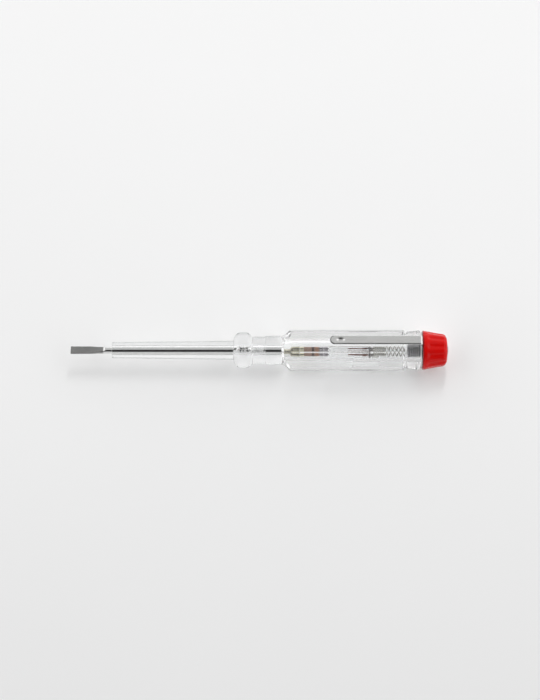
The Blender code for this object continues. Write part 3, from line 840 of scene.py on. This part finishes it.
# ------------------------------------------------------------------ test circuit
LOW_Z = AXIS_Z - 1.4  # the circuit's pieces lie on the bottom of the bore
contact = turned(
    "front_contact_ferrule",
    rounded(
        [
            (10.0, 0.02),
            (10.0, 0.72, 0.1),
            (10.3, 0.95, 0.2),
            (10.9, 1.15, 0.5),
            (12.1, 1.15, 0.05),
            (12.25, 1.09, 0.08),
            (12.5, 1.09, 0.08),
            (12.65, 1.15, 0.05),
            (15.0, 1.15, 0.1),
            (15.0, 0.9, 0.05),
            (14.2, 0.86, 0.1),
            (14.2, 0.02),
        ],
        4,
    ),
    BRASS,
    80,
    centre=(0.0, LOW_Z),
)
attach(contact, "handle")
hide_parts("front_contact")

resistor = turned(
    "resistor_barrel",
    rounded(
        [
            (15.45, 0.02),
            (15.45, 0.66, 0.1),
            (16.5, 0.7, 0.1),
            (16.75, 0.94, 0.15),
            (18.0, 0.96, 2.0),
            (21.0, 0.96, 2.0),
            (22.25, 0.94, 0.15),
            (22.5, 0.7, 0.1),
            (23.55, 0.66, 0.1),
            (23.55, 0.02),
        ],
        4,
    ),
    LACQUER,
    80,
    centre=(0.0, LOW_Z),
)
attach(resistor, "handle")
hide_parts("resistor_body")


def end_cap(name, closed_end, open_end, outer_r, inner_r, look):
    way = 1 if open_end > closed_end else -1
    piece = turned(
        name,
        rounded(
            [
                (closed_end, 0.02),
                (closed_end, outer_r, 0.25),
                (open_end - 0.3 * way, outer_r, 0.1),
                (open_end, outer_r + 0.02, 0.08),
                (open_end, inner_r, 0.05),
                (closed_end + 0.25 * way, inner_r, 0.08),
                (closed_end + 0.25 * way, 0.02),
            ],
            4,
        ),
        look,
        80,
        centre=(0.0, LOW_Z),
    )
    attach(piece, "handle")
    return piece


made = end_cap("resistor_front_cap", 15.1, 16.6, 1.06, 0.76, CREAM)
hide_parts("resistor_cap_front")
made = end_cap("resistor_rear_cap", 23.9, 22.4, 1.06, 0.76, TIN)
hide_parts("resistor_cap_rear")
made = end_cap("lamp_front_cap", 24.0, 25.5, 1.06, 0.8, TIN)
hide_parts("lamp_cap_front")

glass_outline = rounded(
    [
        (24.42, 0.02),
        (24.5, 0.38, 0.25),
        (25.05, 0.62, 0.3),
        (25.8, 0.7, 0.3),
        (26.6, 1.0, 0.5),
        (27.4, 1.15, 0.5),
        (33.0, 1.15),
        (40.12, 1.15, 0.08),
        (40.12, 0.95, 0.06),
        (33.0, 0.95),
        (27.5, 0.95, 0.5),
        (26.7, 0.7, 0.4),
        (25.9, 0.38, 0.2),
        (25.4, 0.02),
    ],
    5,
)
glass = turned("lamp_envelope", glass_outline, LAMP_GLASS, 80, centre=(0.0, LOW_Z))
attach(glass, "handle")
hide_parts("lamp_glass")

stem = turned(
    "lamp_pinch",
    rounded(
        [
            (38.3, 0.02),
            (38.3, 0.62, 0.25),
            (38.8, 0.87, 0.3),
            (40.0, 0.89, 0.2),
            (40.0, 0.02),
        ],
        5,
    ),
    STEM_GLASS,
    64,
    centre=(0.0, LOW_Z),
)
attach(stem, "handle")
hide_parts("lamp_stem")

for label, side, rear in (("a", -1.0, 40.55), ("b", 1.0, 40.04)):
    y = side * 0.36 * math.cos(math.radians(108.0))
    z = LOW_Z + side * 0.36 * math.sin(math.radians(108.0))
    xs = np.linspace(33.2, rear, 34)
    rod = tube(
        f"electrode_{label}",
        [(x, y, z) for x in xs],
        0.26,
        ELECTRODE,
        20,
        taper=0.8,
    )
    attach(rod, "handle")
    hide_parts(f"lamp_electrode_{label}")

lead_y, lead_z = math.cos(math.radians(60.0)), math.sin(math.radians(60.0))
corners = [(40.22, 0.3), (40.35, 0.6), (40.4, 0.9), (40.35, 1.22), (40.05, 1.36)]
corners += [(39.5, 1.36), (36.0, 1.36), (32.8, 1.36), (29.0, 1.36), (25.65, 1.36)]
fine = []
for i in range(len(corners) - 1):
    p0 = corners[max(i - 1, 0)]
    p1, p2 = corners[i], corners[i + 1]
    p3 = corners[min(i + 2, len(corners) - 1)]
    for k in range(6):
        t = k / 6
        fine.append(
            tuple(
                0.5
                * (
                    2 * b
                    + (c - a) * t
                    + (2 * a - 5 * b + 4 * c - d) * t * t
                    + (3 * b - a - 3 * c + d) * t**3
                )
                for a, b, c, d in zip(p0, p1, p2, p3)
            )
        )
fine.append(corners[-1])
lead = tube(
    "lamp_folded_lead",
    [(x, min(r, 1.38) * lead_y, LOW_Z + min(r, 1.38) * lead_z) for x, r in fine],
    0.13,
    LEAD,
    12,
)
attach(lead, "handle")
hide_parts("lamp_lead")

rear_cap = turned(
    "lamp_rear_cap",
    rounded(
        [
            (40.64, 0.02),
            (40.64, 1.24, 0.12),
            (41.3, 1.24, 0.15),
            (41.32, 0.78, 0.12),
            (42.4, 0.58, 0.25),
            (42.75, 0.02),
        ],
        4,
    ),
    DARK_TIN,
    64,
    centre=(0.0, LOW_Z),
)
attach(rear_cap, "handle")
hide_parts("lamp_cap_rear")

# Spring: close coils at the lamp, open coils behind.
closed_turns = (46.8 - 42.0) / 0.74
open_turns = (54.2 - 46.8) / 1.48
total_turns = closed_turns + open_turns
path = []
count = int(total_turns * 40)
for i in range(count + 1):
    turns = total_turns * i / count
    extra = max(0.0, turns - closed_turns)
    x = 42.0 + min(turns, closed_turns) * 0.74 + extra * 1.48
    a = math.tau * turns
    path.append((x, -1.08 * math.sin(a), LOW_Z + 1.08 * math.cos(a)))
spring = tube("contact_coil_spring", path, 0.2, SPRING, 12)
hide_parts("contact_spring")
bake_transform(spring)

# ------------------------------------------------------------------ cap and stud
def stud_thread(x, radius, angles):
    amount = float(smoothstep(54.9, 55.4, x) * (1.0 - smoothstep(59.9, 60.2, x)))
    if amount <= 0:
        return radius
    phase = (x / PITCH - (angles - math.pi / 2) / math.tau) % 1.0
    tooth = np.abs(phase - 0.5) * 2.0
    profile = np.clip((tooth - 0.15) / 0.7, 0.0, 1.0)
    return radius * (1 - amount) + amount * (2.46 + 0.49 * (1.0 - profile))


stud_outline = rounded([(54.75, 0.02), (54.75, 2.2, 0.1), (55.0, 2.5, 0.1), (55.1, 2.55)], 3)
stud_outline += [(55.1 + 0.06 * i, 2.55) for i in range(1, 86)]
stud_outline += rounded(
    [
        (60.4, 2.55),
        (63.0, 2.55, 0.1),
        (63.0, 1.6, 0.1),
        (67.75, 1.6, 0.1),
        (67.75, 2.2, 0.1),
        (69.8, 2.2, 0.2),
        (70.0, 1.75, 0.12),
        (69.9, 0.02),
    ],
    4,
)
stud = turned("contact_stud_turned", stud_outline, STUD, 96, shape=stud_thread)
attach(stud, "cap")
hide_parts("contact_stud")

RIBS = 12


def cap_flutes(x, radius, angles):
    """Flutes between the ribs, from behind the front band to the rear edge."""
    if radius[0] < 4.6:
        return radius
    amount = float(smoothstep(61.9, 63.0, x) * (1.0 - smoothstep(68.6, 69.4, x)))
    wave = 0.5 - 0.5 * np.cos(angles * RIBS)  # 0 on a rib's middle
    return radius - amount * 0.24 * wave**1.3


cap_outline = rounded(
    [
        (60.4, 2.75),
        (60.4, 6.9, 0.1),
        (60.62, 7.27, 0.2),
        (61.6, 7.15, 0.5),
    ],
    4,
)
cap_outline += split_long(
    rounded(
        [
            (61.7, 7.13),
            (64.6, 6.55, 1.6),
            (68.3, 5.94, 0.8),
            (69.0, 5.56, 0.6),
            (69.5, 4.7, 0.6),
            (69.72, 3.2, 0.5),
            (69.75, 2.55, 0.08),
            (69.6, 2.36, 0.05),
            (67.65, 2.33),
        ],
        6,
    ),
    0.35,
)
cap_outline += rounded(
    [(67.6, 2.33), (67.6, 1.7, 0.05), (63.12, 1.7, 0.05), (63.12, 2.7, 0.05), (60.9, 2.72)],
    3,
)
cap = turned("red_screw_cap", cap_outline, RED, 192, shape=cap_flutes, loop=True)
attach(cap, "cap")
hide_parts("cap")

# ------------------------------------------------------------------ clip
# One bent strip of sheet: ring between handle and cap, tab, bend and arm.
T = 0.5
WIDTH = 3.5


def strip_half_width(x):
    """Half width of the arm, round at the free end."""
    radius = WIDTH / 2
    d = (26.1 + radius) - x
    return radius if d <= 0 else math.sqrt(max(radius**2 - d**2, 0.0))


def strip_stations():
    """(point of the strip's middle line in XZ, normal, is it on the arm) from the
    ring's edge up the tab, round the bend and along the arm to its free end."""
    out = []
    mid = 60.0  # middle of the tab's thickness
    top = 15.8  # middle of the arm's thickness
    bend = 0.75
    for z in np.linspace(12.4, top - bend, 10):
        out.append(((mid, z), (1.0, 0.0), z, None))
    for i in range(1, 9):
        a = math.radians(90.0 * i / 9)
        out.append(
            (
                (mid - bend + bend * math.cos(a), top - bend + bend * math.sin(a)),
                (math.cos(a), math.sin(a)),
                None,
                None,
            )
        )
    xs = list(np.linspace(mid - bend, 33.0, 34)) + list(np.linspace(32.8, 28.0, 44))
    end = 26.1
    xs += [end + 1.75 - 1.75 * math.sin(math.radians(t)) for t in np.linspace(0, 90, 26)]
    for x in xs:
        out.append(((x, top), (0.0, 1.0), None, x))
    return out


def dimple(x, y):
    """Depth of the pressed dimple at (x, y)."""
    d = math.sqrt(((x - 30.0) / 2.0) ** 2 + (y / 1.0) ** 2)
    return 0.45 * (1.0 - float(smoothstep(0.25, 0.95, np.array(d))))


CHAMFER, CHAMFER_DEPTH = 0.28, 0.2
across = [-1.0, -0.985, -0.92, -0.86, -0.835, -0.8]
across += [-0.72 + 0.06 * i for i in range(25)]
across += [0.8, 0.835, 0.86, 0.92, 0.985, 1.0]
top_points, under_points = [], []
for (x, z), (nx, nz), _, arm_x in strip_stations():
    half = WIDTH / 2 if arm_x is None else strip_half_width(arm_x)
    half = max(half, 0.02)
    row_top, row_under = [], []
    for u in across:
        y = half * u
        # edges of pressed sheet: broken on the outer face
        out_by = abs(y)
        sink = dimple(arm_x, y) if arm_x is not None else 0.0
        if arm_x is not None and arm_x < 27.85:
            out_by = math.hypot(arm_x - 27.85, y)
        edge = CHAMFER_DEPTH * max(0.0, (out_by - (WIDTH / 2 - CHAMFER)) / CHAMFER)
        ht, hu = T / 2 - edge - sink, -T / 2 + 0.1 * edge - sink
        row_top.append((x + nx * ht, y, z + nz * ht))
        row_under.append((x + nx * hu, y, z + nz * hu))
    top_points.append(row_top)
    under_points.append(row_under)
rows = len(top_points)
loop = []
for i in range(rows):
    loop.append(top_points[i] + under_points[i][::-1])
vertices, faces = skin(loop)
arm = mesh_object("pocket_clip_strip", vertices, faces, CLIP)
edge_mark = arm.data
edge_mark.set_sharp_from_angle(angle=math.radians(25.0))

# The ring itself, joined to the strip's lower end.
ring_outline = rounded(
    [
        (59.76, 3.35),
        (59.76, 6.6, 0.1),
        (60.24, 6.6, 0.1),
        (60.24, 3.35, 0.08),
        (59.9, 3.35),
    ],
    3,
)
ring = turned("pocket_clip_ring", ring_outline, CLIP, 128, loop=True)
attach(ring, "clip_base")
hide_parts("clip_ring")
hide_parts("clip_arm")
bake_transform(arm)

# ------------------------------------------------------------------ floor and light
def floor_material():
    """Matt pale sheet, a little lighter towards the back: a painted light falloff."""
    made, tree, shader, _ = new_material("pale_floor")
    place = tree.nodes.new("ShaderNodeTexCoord")
    parts = tree.nodes.new("ShaderNodeSeparateXYZ")
    tree.links.new(place.outputs["Object"], parts.inputs[0])
    # painted light: the floor's colour rises towards the back
    ramp = tree.nodes.new("ShaderNodeValToRGB")
    stops = [(0.0, 0.85), (0.38, 0.905), (0.66, 0.93), (1.0, 0.945)]
    while len(ramp.color_ramp.elements) < len(stops):
        ramp.color_ramp.elements.new(0.5)
    for element, (at, value) in zip(ramp.color_ramp.elements, stops):
        element.position = at
        element.color = (value, value, value, 1.0)
    tree.links.new(ranged(tree, parts.outputs["Y"], 0.0, 1.0, -0.13, 0.13), ramp.inputs[0])
    cloud = noise_at(tree, 9.0, 2.0)
    mix = tree.nodes.new("ShaderNodeMix")
    mix.data_type = "RGBA"
    mix.blend_type = "MULTIPLY"
    mix.inputs[7].default_value = (0.992, 0.992, 0.992, 1.0)
    tree.links.new(ranged(tree, cloud.outputs[0], 0.0, 1.0), mix.inputs[0])
    tree.links.new(ramp.outputs[0], mix.inputs[6])
    tree.links.new(mix.outputs[2], shader.inputs["Base Color"])
    shader.inputs["Roughness"].default_value = 0.6
    shader.inputs["Specular IOR Level"].default_value = 0.1
    return made


floor_mesh = bpy.data.meshes.new("floor")
floor_mesh.from_pydata(
    [(-3, -3, 0), (3, -3, 0), (3, 3, 0), (-3, 3, 0)], [], [(0, 1, 2, 3)]
)
floor_mesh.materials.append(floor_material())
floor = bpy.data.objects.new("floor", floor_mesh)
floor.location.z = -0.00002
scene.collection.objects.link(floor)


def add_area(name, azimuth, elevation, distance, size, power, aim=(0.004, 0.0, 0.0)):
    """A soft box. Azimuth 0 stands at -Y and 180 behind the tool."""
    lamp = bpy.data.lights.new(name, "AREA")
    lamp.shape = "RECTANGLE"
    lamp.size, lamp.size_y = size
    lamp.energy = power
    made = bpy.data.objects.new(name, lamp)
    scene.collection.objects.link(made)
    a, e = math.radians(azimuth), math.radians(elevation)
    way = Vector((math.sin(a) * math.cos(e), -math.cos(a) * math.cos(e), math.sin(e)))
    made.location = Vector(aim) + way * distance
    made.rotation_euler = way.to_track_quat("Z", "Y").to_euler()
    return made


key = add_area("key_softbox", 170.0, 51.2, 1.2, (0.14, 0.46), 2.6)
key.visible_glossy = False
key.visible_transmission = False

world = bpy.data.worlds.new("studio")
scene.world = world
world.use_nodes = True
tree = world.node_tree
tree.nodes.clear()
out = tree.nodes.new("ShaderNodeOutputWorld")
background = tree.nodes.new("ShaderNodeBackground")
tree.links.new(background.outputs[0], out.inputs[0])
place = tree.nodes.new("ShaderNodeTexCoord")
parts = tree.nodes.new("ShaderNodeSeparateXYZ")
tree.links.new(place.outputs["Generated"], parts.inputs[0])


def maths(operation, a, b=None):
    made = tree.nodes.new("ShaderNodeMath")
    made.operation = operation
    for socket, value in zip(made.inputs, (a, b)):
        if value is None:
            continue
        if isinstance(value, (int, float)):
            socket.default_value = value
        else:
            tree.links.new(value, socket)
    return made.outputs[0]


def smooth_range(source, low, high, a, b):
    made = tree.nodes.new("ShaderNodeMapRange")
    made.interpolation_type = "SMOOTHSTEP"
    made.inputs["From Min"].default_value = a
    made.inputs["From Max"].default_value = b
    made.inputs["To Min"].default_value = low
    made.inputs["To Max"].default_value = high
    tree.links.new(source, made.inputs["Value"])
    return made.outputs[0]


# The room, by the angle over the tool from the front horizon (0) through overhead
# (0.5) to the rear horizon (1): a pale wall, a dark gap in front, pale above and
# behind. To the left and right it is pale all over.
over = maths(
    "DIVIDE",
    maths("ARCTAN2", parts.outputs["Z"], maths("MULTIPLY", parts.outputs["Y"], -1.0)),
    math.pi,
)
ramp = tree.nodes.new("ShaderNodeValToRGB")
ramp.color_ramp.interpolation = "LINEAR"
stops = [
    (0.0, 0.8),
    (11.0, 0.7),
    (18.0, 0.04),
    (80.0, 0.02),
    (87.0, 0.6),
    (110.0, 0.64),
    (132.0, 0.72),
    (152.0, 1.0),
    (166.0, 1.3),
    (180.0, 1.4),
]
while len(ramp.color_ramp.elements) < len(stops):
    ramp.color_ramp.elements.new(0.5)
for element, (at, value) in zip(ramp.color_ramp.elements, stops):
    element.position = at / 180.0
    element.color = (value, value, value, 1.0)
tree.links.new(over, ramp.inputs[0])
side = smooth_range(maths("ABSOLUTE", parts.outputs["X"]), 0.0, 1.0, 0.42, 0.66)
mix = tree.nodes.new("ShaderNodeMix")
mix.data_type = "RGBA"
mix.inputs[7].default_value = (1.52, 1.52, 1.52, 1.0)
tree.links.new(side, mix.inputs[0])
tree.links.new(ramp.outputs[0], mix.inputs[6])
tree.links.new(mix.outputs[2], background.inputs["Color"])
background.inputs["Strength"].default_value = 1.0
